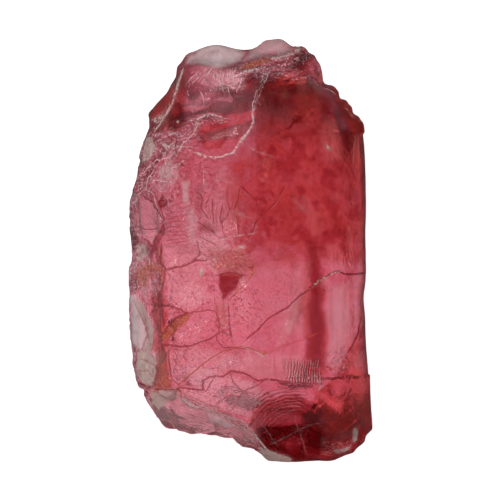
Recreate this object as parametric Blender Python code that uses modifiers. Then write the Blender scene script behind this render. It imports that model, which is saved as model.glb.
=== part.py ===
"""Rough rhodolite garnet: one broken piece of gem crystal, lying on the flat break at its back.

Run it with: blender --background --python part.py
Metres, +Z up. +Y runs along the stone and +X to its right, as it is seen from above. The origin is
the middle of the stone's box, at its base, and Z = 0 is the flat break that the stone rests on.

The stone is made in the way that a rough piece comes about. A slab with the stone's outline is split
along flat breaks, chips are struck from it that each leave a shallow bowl, and its faces are worn.
"""

import math

import bmesh
import bpy
from mathutils import Matrix, Vector, noise

MM = 0.001
LENGTH = 22.0 * MM
SLAB_HEIGHT = 9.2 * MM

# The outline from above, in millimetres, clockwise from the left shoulder.
OUTLINE_MM = (
    (-5.2, 7.2), (-4.8, 7.75), (-4.15, 8.4), (-3.85, 9.2), (-3.5, 9.85), (-2.9, 10.3), (-2.1, 10.6),
    (-1.4, 10.55), (-0.7, 10.3), (-0.15, 10.3), (0.4, 10.55), (0.95, 10.9), (1.4, 11.0), (1.8, 10.75),
    (2.15, 10.4), (2.55, 10.55), (3.1, 10.2), (3.6, 9.6), (3.8, 8.85), (4.0, 8.6), (4.35, 8.4),
    (4.8, 7.8), (5.3, 7.45), (5.6, 7.0), (5.85, 6.65), (5.95, 5.2), (5.95, 0.0), (5.9, -2.6),
    (5.95, -4.7), (6.15, -6.25), (6.3, -8.3), (6.38, -9.35), (6.15, -9.5), (6.0, -10.05), (5.6, -10.3),
    (5.2, -10.65), (4.4, -10.9), (2.6, -10.95), (1.3, -10.95), (0.8, -10.75), (0.3, -10.4), (-0.1, -10.1),
    (-0.6, -10.0), (-1.05, -9.7), (-2.35, -9.5), (-3.5, -9.4), (-4.35, -9.2), (-4.85, -8.7), (-5.4, -7.85),
    (-5.65, -7.3), (-5.95, -6.9), (-6.15, -6.0), (-6.25, -4.2), (-6.3, -2.85), (-6.2, -2.4), (-6.35, -1.6),
    (-6.25, -0.95), (-6.1, -0.35), (-6.2, 0.35), (-6.25, 1.25), (-6.2, 2.4), (-6.0, 3.0), (-5.75, 3.7),
    (-5.65, 4.9), (-5.4, 6.2), (-5.25, 6.8),
)

# Flat breaks: name, a point on it in millimetres, the way it faces in degrees round from +X, and
# its lean in degrees from facing straight up, so that over 90 faces down.
FLAT_BREAKS = (
    ("crown", (0.5, 0.0, 8.3), 205, 4),
    ("right_slope", (2.3, 0.0, 8.35), -2, 14),
    ("right_face", (3.9, 0.0, 7.95), -3, 34),
    ("right_edge", (5.3, 0.0, 7.0), -2, 60),
    ("upper_right_slope", (1.7, 5.0, 8.3), 52, 17),
    ("upper_right_shoulder", (3.4, 6.8, 7.55), 46, 40),
    ("top_slope", (-0.5, 8.7, 6.9), 94, 50),
    ("upper_left_slope", (-3.0, 6.5, 7.1), 135, 33),
    ("left_shoulder", (-4.2, 2.5, 7.1), 172, 42),
    ("left_wall", (-5.0, -4.0, 6.0), 181, 66),
    ("upper_left_edge", (-4.75, 6.8, 5.4), 150, 66),
    ("lower_left_panel", (-2.5, -5.5, 7.8), 235, 13),
    ("bottom_left_slope", (-2.6, -7.7, 7.0), 247, 57),
    ("bottom_slope", (2.0, -8.3, 7.3), 276, 40),
    ("bottom_right_corner", (4.9, -8.6, 6.6), 312, 38),
    ("back_right", (3.1, 0.0, 0.0), 0, 131),
    ("back_left", (-4.7, -1.0, 0.0), 183, 121),
    ("back_top", (0.0, 4.4, 0.0), 92, 150),
    ("back_top_left", (-3.6, 4.6, 0.0), 142, 136),
    ("back_top_right", (3.6, 5.2, 0.6), 40, 128),
    ("back_bottom", (0.5, -7.4, 0.0), 271, 136),
    ("back_bottom_left", (-3.4, -6.8, 0.0), 235, 130),
)

# Chips: name, where its middle is from above in millimetres, the way that it faces (degrees round
# from +X, and lean from straight up, so that over 90 it is under the stone), its half width, half
# length and turn, and its depth.
CHIPS = (
    ("upper_left_bowl", (-1.8, 7.8), 118, 26, 2.5, 2.0, 20, 0.50),
    ("disc", (-1.45, 5.75), 140, 18, 1.45, 1.2, 0, 0.24),
    ("upper_right_hollow", (1.9, 8.2), 72, 34, 1.7, 1.1, -10, 0.32),
    ("shoulder_hollow", (4.1, 6.2), 32, 40, 1.3, 2.0, 25, 0.20),
    ("cap_left", (-1.9, 9.9), 100, 52, 1.4, 0.8, 0, 0.30),
    ("cap_right", (0.7, 10.2), 85, 54, 1.1, 0.6, 0, 0.20),
    ("knob_side", (3.3, 8.9), 25, 48, 0.7, 0.8, 0, 0.16),
    ("dark_triangle", (-3.75, 7.1), 150, 48, 0.7, 1.2, 10, 0.20),
    ("left_rim", (-4.6, 6.9), 150, 62, 0.8, 1.4, -25, 0.18),
    ("left_shoulder_upper", (-4.4, 5.1), 165, 45, 1.1, 1.2, -10, 0.24),
    ("left_shoulder_lower", (-4.7, 3.6), 178, 46, 0.9, 0.8, 0, 0.22),
    ("lens", (-5.2, 1.4), 180, 52, 0.85, 1.3, 0, 0.26),
    ("left_notch", (-6.0, 0.45), 185, 72, 0.5, 0.6, 0, 0.20),
    ("dark_pit", (-4.4, 2.3), 170, 38, 0.5, 0.45, 0, 0.24),
    ("pale_strip", (-3.15, 1.9), 176, 26, 0.7, 1.8, -4, 0.26),
    ("pink_rough", (-1.5, 1.9), 190, 6, 1.3, 1.8, 8, 0.24),
    ("cushion", (-3.5, -0.35), 190, 20, 1.0, 0.75, 0, 0.20),
    ("middle_panel", (-3.1, -1.85), 195, 18, 1.25, 1.0, 10, 0.22),
    ("wedge_pit", (-0.85, -1.85), 60, 12, 0.62, 0.95, -28, 0.34),
    ("leaf", (-3.0, -3.9), 200, 14, 1.6, 0.75, 32, 0.28),
    ("lower_panel", (-2.4, -5.7), 240, 12, 1.9, 1.1, 15, 0.22),
    ("lower_panel_right", (-0.6, -7.3), 250, 14, 1.5, 0.8, -14, 0.20),
    ("big_window", (0.9, -2.8), 230, 3, 1.8, 2.8, -20, 0.16),
    ("hackle_step", (1.6, -6.2), 280, 9, 1.9, 0.7, 4, 0.20),
    ("bottom_bowl", (1.8, -9.1), 270, 42, 2.2, 1.5, 0, 0.50),
    ("bottom_left_chip", (-4.5, -8.2), 232, 58, 1.3, 0.9, -30, 0.24),
    ("bottom_left_step", (-2.3, -8.6), 250, 56, 1.7, 0.6, -14, 0.22),
    ("left_wall_flake", (-5.7, -4.6), 180, 66, 0.9, 2.0, 0, 0.22),
    ("left_wall_step", (-5.8, -1.6), 184, 62, 0.8, 0.8, 0, 0.20),
    ("right_trough", (4.8, -3.6), 0, 38, 0.8, 3.0, 2, 0.20),
    ("right_upper_trough", (4.9, 2.2), -4, 38, 0.8, 2.4, -3, 0.14),
    ("corner_chip", (5.1, -9.9), 290, 52, 0.9, 0.6, 0, 0.28),
    ("corner_nick", (5.8, -9.3), 325, 58, 0.5, 0.6, 0, 0.20),
    ("under_right", (4.9, 2.5), 5, 130, 1.3, 2.6, 6, 0.25),
    ("under_right_low", (4.6, -4.6), -8, 132, 1.2, 2.3, -8, 0.28),
    ("under_top", (0.6, 8.2), 85, 148, 2.2, 1.7, 10, 0.30),
    ("under_top_left", (-3.2, 7.6), 130, 140, 1.6, 1.3, 0, 0.26),
    ("under_left", (-5.6, 1.2), 178, 120, 0.9, 2.0, 0, 0.20),
    ("under_left_low", (-5.4, -3.6), 185, 122, 0.8, 1.6, 0, 0.18),
    ("under_bottom", (2.4, -9.3), 280, 136, 1.9, 1.1, 0, 0.28),
    ("under_bottom_left", (-2.6, -8.3), 245, 134, 1.6, 0.9, -12, 0.22),
)

# A bowl's rings from its side to its middle, in half widths, and how high its side stands, in mm.
BOWL_RINGS = (1.7, 1.25, 0.85, 0.45, 0.0)
BOWL_HEIGHT = 9.0
BOWL_SPOKES = 18
BOWL_UNEVENNESS = 0.12
MERGE = 0.001 * MM
SNAP = 0.00001 * MM

# Wear: how far the faces wander, over what length, and the height over which it fades at the seat.
WEAR = ((0.20 * MM, 3.4 * MM), (0.06 * MM, 1.1 * MM))
SEAT_FADE = 0.7 * MM
SEAT_TRIM = 0.03 * MM
DRIFT_SHIFTS = ((11.3, 2.7, 5.1), (3.9, 17.2, 8.8), (7.4, 6.1, 23.5))
BLUNTNESS = 0.2 * MM
TRIANGLES = 8000
SHARP_ANGLE = math.radians(28)


def facing(azimuth, lean):
    """The unit direction that a break or a chip faces."""
    round_from_x, from_up = math.radians(azimuth), math.radians(lean)
    across = math.sin(from_up)
    return Vector((across * math.cos(round_from_x), across * math.sin(round_from_x), math.cos(from_up)))


def wander(point, span):
    """A smooth drift that differs from place to place, each way from -1 to 1, over one span."""
    place = point / span
    return Vector(noise.noise(place + Vector(shift)) for shift in DRIFT_SHIFTS)


def clear_scene():
    for obj in list(bpy.data.objects):
        bpy.data.objects.remove(obj)


def new_collection(name):
    collection = bpy.data.collections.new(name)
    bpy.context.scene.collection.children.link(collection)
    return collection


def with_modifier(stone, kind, **settings):
    """Gives the stone the shape that one modifier makes of it."""
    step = stone.modifiers.new(kind.lower(), kind)
    for name, value in settings.items():
        setattr(step, name, value)
    bpy.context.view_layer.update()
    graph = bpy.context.evaluated_depsgraph_get()
    shaped = bpy.data.meshes.new_from_object(stone.evaluated_get(graph))
    stone.modifiers.clear()
    before = stone.data
    stone.data = shaped
    bpy.data.meshes.remove(before)
    bpy.context.view_layer.update()


def make_slab(collection):
    """The block that the stone is broken from: its outline, straight up."""
    curve = bpy.data.curves.new("garnet_outline", "CURVE")
    curve.dimensions = "2D"
    curve.fill_mode = "BOTH"
    curve.extrude = SLAB_HEIGHT / 2
    spline = curve.splines.new("POLY")
    spline.points.add(len(OUTLINE_MM) - 1)
    for point, (x, y) in zip(spline.points, OUTLINE_MM):
        point.co = (x * MM, y * MM, 0.0, 1.0)
    spline.use_cyclic_u = True
    outline = bpy.data.objects.new("garnet_outline", curve)
    outline.location.z = SLAB_HEIGHT / 2
    collection.objects.link(outline)
    bpy.context.view_layer.update()
    graph = bpy.context.evaluated_depsgraph_get()
    mesh = bpy.data.meshes.new_from_object(outline.evaluated_get(graph))
    mesh.transform(outline.matrix_world)
    bpy.data.objects.remove(outline)
    stone = bpy.data.objects.new("garnet", mesh)
    collection.objects.link(stone)
    return stone


def split_off(bm, point, normal):
    """Takes away everything beyond one flat break."""
    everything = bm.verts[:] + bm.edges[:] + bm.faces[:]
    bmesh.ops.bisect_plane(
        bm, geom=everything, dist=SNAP, plane_co=point, plane_no=normal, clear_outer=True
    )
    rim = [edge for edge in bm.edges if edge.is_boundary]
    bmesh.ops.holes_fill(bm, edges=rim, sides=0)


def split_flat_breaks(stone):
    bm = bmesh.new()
    bm.from_mesh(stone.data)
    bmesh.ops.remove_doubles(bm, verts=bm.verts[:], dist=MERGE)
    for _, point, azimuth, lean in FLAT_BREAKS:
        split_off(bm, Vector(point) * MM, facing(azimuth, lean))
    bmesh.ops.recalc_face_normals(bm, faces=bm.faces[:])
    bm.to_mesh(stone.data)
    bm.free()


def make_bowl(name, half_width, half_length, depth, collection):
    """The cutter of one chip: a turned bowl, lowest in its middle, with straight sides above it."""
    side = BOWL_RINGS[0] * half_width
    profile = [(0.0, BOWL_HEIGHT), (side, BOWL_HEIGHT)]
    profile += [(share * half_width, depth * (share * share - 1)) for share in BOWL_RINGS]
    corners = [(x * MM, 0.0, z * MM) for x, z in profile]
    mesh = bpy.data.meshes.new(name)
    mesh.from_pydata(corners, [(place, place + 1) for place in range(len(corners) - 1)], [])
    bowl = bpy.data.objects.new(name, mesh)
    bowl.hide_render = True
    bowl.display_type = "WIRE"
    collection.objects.link(bowl)
    with_modifier(
        bowl, "SCREW", steps=BOWL_SPOKES, render_steps=BOWL_SPOKES, use_merge_vertices=True,
        merge_threshold=MERGE,
    )
    reach = BOWL_UNEVENNESS * half_width * MM
    for vert in bowl.data.vertices:
        vert.co += wander(vert.co, half_width * MM) * reach
    bowl.scale.y = half_length / half_width
    return bowl


def strike_chip(stone, chip, collection):
    """Knocks one chip off the top of the stone, or off its underside."""
    name, (x, y), azimuth, lean, half_width, half_length, turn, depth = chip
    way = facing(azimuth, lean)
    outside = LENGTH if lean < 90 else -LENGTH
    hit, place, _, _ = stone.ray_cast((x * MM, y * MM, outside), (0, 0, -outside))
    if not hit:
        raise ValueError(f"chip {name} misses the stone")
    bowl = make_bowl("chip_" + name, half_width, half_length, depth, collection)
    along = Vector((0, 1, 0)) if abs(way.y) < 0.8 else Vector((0, 0, 1))
    side = along.cross(way).normalized()
    axes = Matrix((side, way.cross(side), way)).transposed()
    bowl.location = place
    bowl.rotation_euler = (axes @ Matrix.Rotation(math.radians(turn), 3, "Z")).to_euler()
    with_modifier(stone, "BOOLEAN", operation="DIFFERENCE", solver="EXACT", object=bowl)


def wear(stone):
    """Lets each face wander a little, as a natural break does."""
    for vert in stone.data.vertices:
        fade = min(max(vert.co.z / SEAT_FADE, 0.0), 1.0)
        shift = sum((wander(vert.co, span) * reach for reach, span in WEAR), Vector())
        vert.co += shift * fade


def flatten_seat(stone):
    """Trues the break at the base, and puts the middle of the stone's box there on the origin."""
    bm = bmesh.new()
    bm.from_mesh(stone.data)
    split_off(bm, Vector((0, 0, SEAT_TRIM)), Vector((0, 0, -1)))
    bmesh.ops.triangulate(bm, faces=bm.faces[:])
    low = Vector(min(vert.co[axis] for vert in bm.verts) for axis in range(3))
    high = Vector(max(vert.co[axis] for vert in bm.verts) for axis in range(3))
    middle = (low + high) / 2
    bmesh.ops.translate(bm, verts=bm.verts[:], vec=(-middle.x, -middle.y, -low.z))
    bmesh.ops.recalc_face_normals(bm, faces=bm.faces[:])
    bm.to_mesh(stone.data)
    bm.free()


def finish_surface(stone):
    """Blunts the broken edges, wears the faces, and keeps only the triangles that the shape needs."""
    with_modifier(stone, "REMESH", mode="VOXEL", voxel_size=BLUNTNESS)
    wear(stone)
    faces = sum(len(face.vertices) - 2 for face in stone.data.polygons)
    with_modifier(stone, "DECIMATE", ratio=TRIANGLES / faces, use_collapse_triangulate=True)
    flatten_seat(stone)
    stone.data.shade_smooth()
    stone.data.set_sharp_from_angle(angle=SHARP_ANGLE)


def rhodolite():
    """Raspberry-red garnet: clear, with its colour in its depth."""
    material = bpy.data.materials.new("rhodolite")
    material.use_nodes = True
    surface = material.node_tree.nodes["Principled BSDF"]
    surface.inputs["Base Color"].default_value = (0.62, 0.12, 0.17, 1.0)
    surface.inputs["Roughness"].default_value = 0.18
    surface.inputs["Metallic"].default_value = 0.0
    surface.inputs["IOR"].default_value = 1.76
    surface.inputs["Transmission Weight"].default_value = 0.85
    material.diffuse_color = (0.62, 0.12, 0.17, 1.0)
    return material


def main():
    clear_scene()
    stone_parts = new_collection("rough_rhodolite_garnet")
    cutters = new_collection("cutters")
    stone = make_slab(stone_parts)
    split_flat_breaks(stone)
    for chip in CHIPS:
        strike_chip(stone, chip, cutters)
    finish_surface(stone)
    stone.data.materials.clear()
    stone.data.materials.append(rhodolite())


main()
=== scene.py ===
"""A rough rhodolite garnet on a pale, lit surface, seen from straight above.

Metres, +Z up. +Y runs along the stone and +X to its right. Places on the stone's upper side are given
in photo pixels, with 0, 0 at the upper left, and pixel 250, 249.5 above the origin.
"""

import itertools
import math

import bpy
import numpy as np
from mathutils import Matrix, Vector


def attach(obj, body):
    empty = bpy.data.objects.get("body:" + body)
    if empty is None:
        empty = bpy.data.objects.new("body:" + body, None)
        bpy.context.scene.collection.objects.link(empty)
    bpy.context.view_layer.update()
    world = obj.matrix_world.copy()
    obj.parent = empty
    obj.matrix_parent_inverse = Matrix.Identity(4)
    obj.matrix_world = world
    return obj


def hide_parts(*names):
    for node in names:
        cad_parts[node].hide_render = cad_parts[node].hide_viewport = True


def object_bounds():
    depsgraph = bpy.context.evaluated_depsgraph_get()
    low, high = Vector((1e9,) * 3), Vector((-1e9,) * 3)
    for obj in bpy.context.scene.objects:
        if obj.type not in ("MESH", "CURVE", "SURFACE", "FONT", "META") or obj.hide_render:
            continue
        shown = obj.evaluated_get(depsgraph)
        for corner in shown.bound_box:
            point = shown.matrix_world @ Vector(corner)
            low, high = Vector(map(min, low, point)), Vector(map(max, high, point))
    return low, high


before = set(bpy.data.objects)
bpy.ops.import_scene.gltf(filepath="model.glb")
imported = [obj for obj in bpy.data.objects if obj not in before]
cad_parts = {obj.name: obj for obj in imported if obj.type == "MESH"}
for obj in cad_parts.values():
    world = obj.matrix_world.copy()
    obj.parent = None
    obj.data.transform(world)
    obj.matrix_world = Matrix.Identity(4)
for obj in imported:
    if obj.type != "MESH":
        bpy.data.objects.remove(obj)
cad_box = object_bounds()

# The garnet: one broken piece of clear raspberry-red crystal, 22 mm long, with no cut or polished
# face. Its surface is conchoidal breaks with fine ripples, hackles, ledges and hairline cracks. It
# lies loose on the flat break at its back.
MM = 0.001
LENGTH = 22.0
LENGTH_PX = 425
PIXEL = LENGTH / LENGTH_PX
PHOTO_PX = 500
MIDDLE_PX = (250.0, 249.5)
FINE_VOXEL = 0.1 * MM


def place(name, data):
    """Puts a new object with this data into the scene."""
    made = bpy.data.objects.new(name, data)
    bpy.context.scene.collection.objects.link(made)
    return made


stone = place("garnet_crystal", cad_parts["garnet"].data.copy())
even = stone.modifiers.new("even_mesh", "REMESH")
even.mode = "VOXEL"
even.voxel_size = FINE_VOXEL
stone.modifiers.new("thirds", "TRIANGULATE")
bpy.context.view_layer.update()
crystal_mesh = bpy.data.meshes.new_from_object(stone.evaluated_get(bpy.context.evaluated_depsgraph_get()))
stone.modifiers.clear()
stone.data = crystal_mesh
crystal_mesh.name = "garnet_crystal"
corners = np.empty(len(crystal_mesh.polygons) * 3, dtype=np.int32)
crystal_mesh.polygons.foreach_get("vertices", corners)
corners = corners.reshape(-1, 3)
places = np.empty(len(crystal_mesh.vertices) * 3, dtype=np.float32)
crystal_mesh.vertices.foreach_get("co", places)
# Places on the stone are in millimetres from here on.
places = places.reshape(-1, 3).astype(np.float64) / MM


def gather(where, values, count):
    """Adds up rows of values at the numbered places."""
    return np.stack([np.bincount(where, values[:, axis], count) for axis in range(3)], axis=1)


def unit(rows):
    return rows / np.maximum(np.linalg.norm(rows, axis=1), 1e-12)[:, None]


def face_areas(places):
    first, second, third = (places[corners[:, i]] for i in range(3))
    return np.cross(second - first, third - first) / 2


def point_normals(places):
    areas = face_areas(places)
    return unit(sum(gather(corners[:, i], areas, len(places)) for i in range(3)))


def soften(places, rounds):
    """Evens out the steps that the remesh leaves."""
    links = np.concatenate([corners[:, [0, 1]], corners[:, [1, 2]], corners[:, [2, 0]]])
    share = np.bincount(links[:, 0], minlength=len(places))[:, None]
    for _ in range(rounds):
        places = places + 0.5 * (gather(links[:, 0], places[links[:, 1]], len(places)) / share - places)
    return places


def crisp_breaks(places, rounds, keeps_angle):
    """Flattens the broken faces and sharpens the edges between them."""
    ends = np.sort(corners[:, [0, 1, 1, 2, 2, 0]].reshape(-1, 2), axis=1)
    owners = np.repeat(np.arange(len(corners)), 3)[np.lexsort((ends[:, 1], ends[:, 0]))]
    left, right = owners[0::2], owners[1::2]
    areas = face_areas(places)
    size = np.linalg.norm(areas, axis=1)
    facing = unit(areas)
    spread = 2 * (2 * math.sin(keeps_angle / 2)) ** 2
    for _ in range(rounds):
        apart = ((facing[left] - facing[right]) ** 2).sum(axis=1)
        pull = np.exp(-apart / spread)
        total = facing * size[:, None] * 0.5
        total += gather(left, facing[right] * (pull * size[right])[:, None], len(corners))
        total += gather(right, facing[left] * (pull * size[left])[:, None], len(corners))
        facing = unit(total)
    share = np.bincount(corners.ravel(), minlength=len(places))[:, None]
    for _ in range(rounds):
        middle = places[corners].mean(axis=1)
        step = np.zeros_like(places)
        for i in range(3):
            off = ((middle - places[corners[:, i]]) * facing).sum(axis=1)
            step += gather(corners[:, i], facing * off[:, None], len(places))
        places = places + step / share
    return places


SAME_FACE_ANGLE = math.radians(16)
places = crisp_breaks(soften(places, rounds=4), rounds=20, keeps_angle=SAME_FACE_ANGLE)
# The smooth right side has no edges along it. Its limits are in millimetres.
SIDE_FROM_X = 3.2
SIDE_FROM_Y = -6.5
SIDE_TO_Y = 6.0
SIDE_FROM_Z = 0.3
x, y, z = places.T
smooth_side = (x > SIDE_FROM_X) & (y > SIDE_FROM_Y) & (y < SIDE_TO_Y) & (z > SIDE_FROM_Z)
places = np.where(smooth_side[:, None], soften(places, rounds=200), places)
# The noises below repeat after this many lumps or chips.
LUMPS_ACROSS = 32
CHIPS_ACROSS = 16


def ramp(value, low, high):
    """0 below low, 1 above high, and a smooth rise between."""
    share = np.clip((value - low) / (high - low), 0, 1)
    return share * share * (3 - 2 * share)


def grain(span, seed):
    """Smooth noise from -1 to 1 at each point, with lumps about one span across, in millimetres."""
    lattice = np.random.default_rng(seed).random((LUMPS_ACROSS,) * 3) * 2 - 1
    in_spans = places / span + seed * 3.7
    cell = np.floor(in_spans).astype(int)
    part = in_spans - cell
    part = part * part * (3 - 2 * part)
    total = np.zeros(len(places))
    for corner in itertools.product((0, 1), repeat=3):
        share = np.abs(1 - np.array(corner) - part).prod(axis=1)
        total += share * lattice[tuple(((cell + corner) % LUMPS_ACROSS).T)]
    return total


def shards(span, seed):
    """Small flat chips, each with its own tilt: their heights, from about -1 to 1, and a tone for each
    chip, from 0 to 1."""
    chance = np.random.default_rng(seed)
    cells = (CHIPS_ACROSS,) * 3
    shift = chance.random((*cells, 3))
    tilt = chance.normal(size=(*cells, 3))
    tones = chance.random(cells)
    cell = np.floor(places / span).astype(int)
    nearest = np.full(len(places), 1e9)
    height = np.zeros(len(places))
    tone = np.zeros(len(places))
    for corner in itertools.product((-1, 0, 1), repeat=3):
        near = cell + corner
        key = tuple((near % CHIPS_ACROSS).T)
        away = places - (near + shift[key]) * span
        distance = np.linalg.norm(away, axis=1)
        height = np.where(distance < nearest, (away * tilt[key]).sum(axis=1) / span, height)
        tone = np.where(distance < nearest, tones[key], tone)
        nearest = np.minimum(nearest, distance)
    return height, tone


normals = point_normals(places)
across = places[:, 0] / PIXEL + MIDDLE_PX[0]
down = MIDDLE_PX[1] - places[:, 1] / PIXEL
# The marks run a little unevenly, as breaks in a crystal do. The bends are in pixels.
BEND = 1.8
SMALL_BEND = 0.9
across_worn = across + BEND * grain(span=1.1, seed=1) + SMALL_BEND * grain(span=0.35, seed=2)
down_worn = down + BEND * grain(span=1.1, seed=3) + SMALL_BEND * grain(span=0.35, seed=4)
# A line isn't felt beyond this many pixels. The marks lie on what faces up.
LINE_FELT = 14.0
upper = ramp(normals[:, 2], -0.05, 0.12)


def along_lines(lines):
    """Each point's distance in pixels from the nearest of some bent lines on the upper side, below 0
    on their left."""
    best = np.full(len(places), LINE_FELT)
    side = np.ones(len(places))
    for bends in lines:
        for (ax, ay), (bx, by) in itertools.pairwise(bends):
            step = math.dist((ax, ay), (bx, by))
            ux, uy = (bx - ax) / step, (by - ay) / step
            dx, dy = across_worn - ax, down_worn - ay
            reach = np.clip(dx * ux + dy * uy, 0, step)
            distance = np.hypot(dx - reach * ux, dy - reach * uy)
            nearer = distance < best
            best = np.where(nearer, distance, best)
            side = np.where(nearer, np.where(dx * uy - dy * ux > 0, 1.0, -1.0), side)
    best = np.where(upper > 0.5, best, LINE_FELT)
    return best * side


def within(outline, soft):
    """1 inside an outline, in pixels, and 0 outside it, with an edge of the given softness."""
    inside = np.zeros(len(places), dtype=bool)
    best = np.full(len(places), 1e9)
    for (ax, ay), (bx, by) in zip(outline, outline[1:] + outline[:1]):
        dx, dy = across_worn - ax, down_worn - ay
        ex, ey = bx - ax, by - ay
        reach = np.clip((dx * ex + dy * ey) / (ex * ex + ey * ey), 0, 1)
        best = np.minimum(best, np.hypot(dx - reach * ex, dy - reach * ey))
        crosses = (ay > down_worn) != (by > down_worn)
        if ay != by:
            inside ^= crosses & (across_worn < ex * (down_worn - ay) / ey + ax)
    return 1 - ramp(np.where(inside, -best, best), -soft, soft)


def oval(px, py, half_width, half_height, turn=0):
    """The outline of an oval in pixels. turn is anticlockwise, in degrees."""
    tilt = math.radians(turn)
    sides = 14
    outline = []
    for step in range(sides):
        angle = 2 * math.pi * step / sides
        u = half_width * math.cos(angle)
        v = half_height * math.sin(angle)
        right = px + u * math.cos(tilt) + v * math.sin(tilt)
        below = py - u * math.sin(tilt) + v * math.cos(tilt)
        outline.append((right, below))
    return outline


def zones(*shapes, column=False):
    """The union of some outlines, each with its softness and strength. A column goes right through the
    stone, and the rest mark its upper side alone."""
    total = np.zeros(len(places))
    for outline, soft, strength in shapes:
        total = np.maximum(total, within(list(outline), soft) * strength)
    return total if column else total * upper


# Dark cracks and the edges of broken leaves.
CRACKS = (
    ((184, 386), (203, 386), (204, 376), (209, 373), (223, 372), (230, 368), (240, 370), (258, 378),
     (271, 377), (309, 379)),
    ((248, 337), (254, 331), (268, 317), (285, 305), (297, 295), (314, 281), (326, 276), (335, 272),
     (347, 274), (361, 273)),
    ((166, 341), (182, 344), (197, 343), (209, 338), (220, 331)),
    ((154, 304), (170, 304), (180, 307), (188, 311)),
    ((166, 268), (176, 267), (186, 266), (197, 262), (204, 262)),
    ((229, 304), (232, 335), (224, 329)),
    ((134, 304), (142, 317), (147, 336), (141, 350)),
    ((164, 246), (162, 262), (166, 268), (163, 288)),
    ((164, 333), (170, 324), (178, 316), (189, 311)),
    ((166, 224), (154, 205), (145, 198)),
    ((166, 224), (158, 236), (152, 247), (146, 240)),
    ((221, 275), (232, 273), (243, 274)),
    ((178, 391), (180, 386), (196, 386)),
    ((141, 185), (151, 173), (161, 161), (165, 150)),
    ((149, 271), (160, 297), (161, 305)),
    ((139, 383), (160, 388), (180, 390)),
    ((156, 160), (152, 172)),
    ((247, 424), (256, 434), (262, 446)),
    ((303, 118), (297, 122), (292, 126)),
    ((300, 122), (294, 126), (287, 132)),
)
# Finer dark veins between the small faces.
VEINS = (
    ((282, 190), (275, 202), (266, 212), (256, 224), (249, 236)),
    ((242, 188), (256, 202), (258, 216), (251, 233)),
    ((216, 331), (217, 340), (223, 347), (246, 347)),
    ((170, 345), (172, 360), (175, 376), (180, 381)),
    ((228, 192), (227, 202), (230, 212), (222, 224)),
    ((240, 190), (239, 202), (234, 212), (237, 223), (239, 233)),
    ((222, 209), (219, 219), (222, 228)),
    ((213, 202), (211, 212), (213, 222)),
    ((201, 195), (204, 202), (202, 211), (206, 219)),
    ((199, 224), (209, 230), (213, 233)),
    ((202, 238), (216, 247)),
    ((156, 195), (163, 212), (166, 221)),
    ((158, 200), (166, 204), (173, 201)),
    ((136, 226), (146, 231), (158, 229)),
    ((137, 195), (146, 185), (153, 176)),
    ((199, 243), (201, 257), (194, 263)),
    ((194, 310), (209, 309), (216, 310), (220, 322), (218, 333)),
    ((230, 371), (232, 378), (240, 386), (247, 391)),
    ((240, 391), (250, 386), (258, 383), (264, 378)),
    ((223, 395), (230, 390), (239, 393), (232, 405)),
    ((206, 386), (213, 376)),
    ((141, 360), (150, 362), (158, 367)),
    ((140, 372), (150, 370), (156, 378)),
    ((154, 306), (151, 316), (157, 324), (153, 336)),
    ((158, 324), (166, 330)),
    ((349, 350), (357, 333), (361, 316)),
)
# Pale, worn ridges and open edges that catch the light.
RIDGES = (
    ((197, 155), (203, 158), (209, 160), (221, 160), (232, 156), (240, 147), (247, 137), (252, 126),
     (251, 119)),
    ((184, 72), (179, 87), (173, 102), (165, 116), (156, 131)),
    ((197, 126), (201, 121), (208, 118), (216, 118), (223, 121)),
    ((237, 77), (246, 74), (254, 72), (263, 71)),
    ((273, 62), (280, 60), (287, 57), (294, 54)),
    ((313, 283), (320, 279), (328, 276), (336, 273)),
    ((180, 391), (188, 396), (197, 403), (214, 408), (230, 414), (240, 417), (247, 422), (256, 436),
     (270, 451)),
)
SCRATCHES = (
    ((251, 119), (252, 107), (257, 94), (262, 82), (263, 72)),
    ((252, 116), (258, 102), (264, 87), (268, 75)),
    ((147, 135), (161, 126)),
    ((163, 140), (177, 133)),
    ((161, 149), (175, 147), (192, 149)),
    ((165, 154), (172, 145)),
    ((178, 157), (185, 144), (194, 133), (199, 126)),
    ((160, 162), (172, 157), (178, 150)),
    ((141, 178), (153, 166), (160, 161)),
    ((146, 185), (151, 176), (156, 171)),
    ((153, 181), (173, 183)),
    ((135, 195), (146, 190), (154, 195), (161, 217), (166, 224)),
    ((134, 202), (139, 195)),
    ((170, 172), (180, 166), (190, 158)),
    ((252, 152), (271, 160)),
    ((289, 58), (286, 64), (282, 73)),
    ((188, 65), (196, 62), (208, 65)),
    ((204, 176), (205, 187)),
    ((223, 240), (240, 235), (251, 233)),
    ((294, 414), (306, 450)),
    ((273, 441), (302, 427), (317, 421)),
    ((258, 417), (275, 441)),
    # A painted highlight, drawn as a scratch.
    ((247, 347), (263, 353)),
    ((311, 360), (319, 383)),
    ((316, 386), (325, 381)),
    ((352, 359), (357, 367)),
    ((353, 140), (351, 164)),
    ((357, 142), (359, 160)),
    ((292, 203), (302, 211)),
    ((181, 394), (183, 400), (188, 406), (194, 408), (198, 405)),
    ((184, 395), (190, 397), (196, 401), (198, 405)),
    ((186, 397), (196, 402), (208, 407), (220, 411), (230, 415)),
    ((199, 406), (210, 410), (221, 414), (232, 419)),
    ((203, 410), (213, 414), (224, 418)),
    ((326, 89), (333, 95)),
    ((345, 109), (352, 116)),
)
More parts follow.
